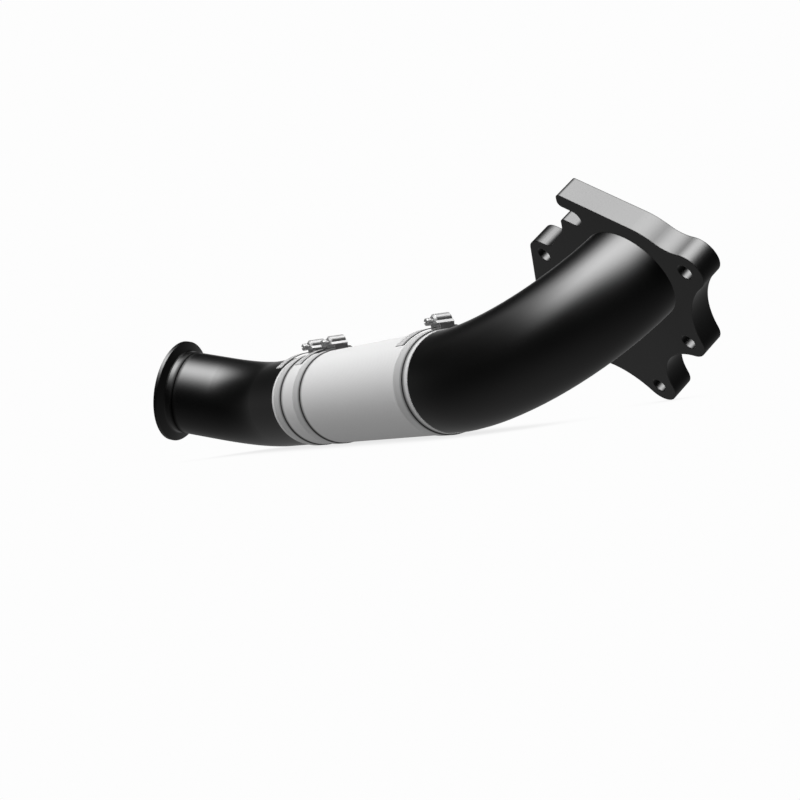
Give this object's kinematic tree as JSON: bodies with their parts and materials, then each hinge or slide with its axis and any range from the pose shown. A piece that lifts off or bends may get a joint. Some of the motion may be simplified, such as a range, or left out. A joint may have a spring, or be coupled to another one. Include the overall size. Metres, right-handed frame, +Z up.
{
  "type": "exhaust downpipe",
  "caption": "Bent exhaust tube with a thick bolted flange at one end, a V-band rim at the other and a heat sleeve held by worm-drive clamps.",
  "frame": {"origin": "centre of the bounding box, on the floor the part lies on", "axes": "+X along the straight tube towards the turbo flange, +Z up, +Y to the side the turbo flange lies on"},
  "size_m": [0.6204, 0.2642, 0.1658],
  "materials": {
    "ceramic_black": "satin",
    "flange_black": "satin",
    "rim_black": "satin",
    "embossed_foil": "satin",
    "clamp_band": "satin",
    "clamp_body": "satin",
    "clamp_screw": "satin"
  },
  "bodies": {
    "root": {"bent_pipe": "ceramic_black", "turbo_flange": "flange_black", "outlet_flange": "rim_black", "heat_sleeve": "embossed_foil", "first_clamp_band": "clamp_band", "first_clamp_saddle": "clamp_body", "first_clamp_housing": "clamp_body", "first_clamp_screw": "clamp_screw", "second_clamp_band": "clamp_band", "second_clamp_saddle": "clamp_body", "second_clamp_housing": "clamp_body", "second_clamp_screw": "clamp_screw", "third_clamp_band": "clamp_band", "third_clamp_saddle": "clamp_body", "third_clamp_housing": "clamp_body", "third_clamp_screw": "clamp_screw"}
  },
  "joints": []
}
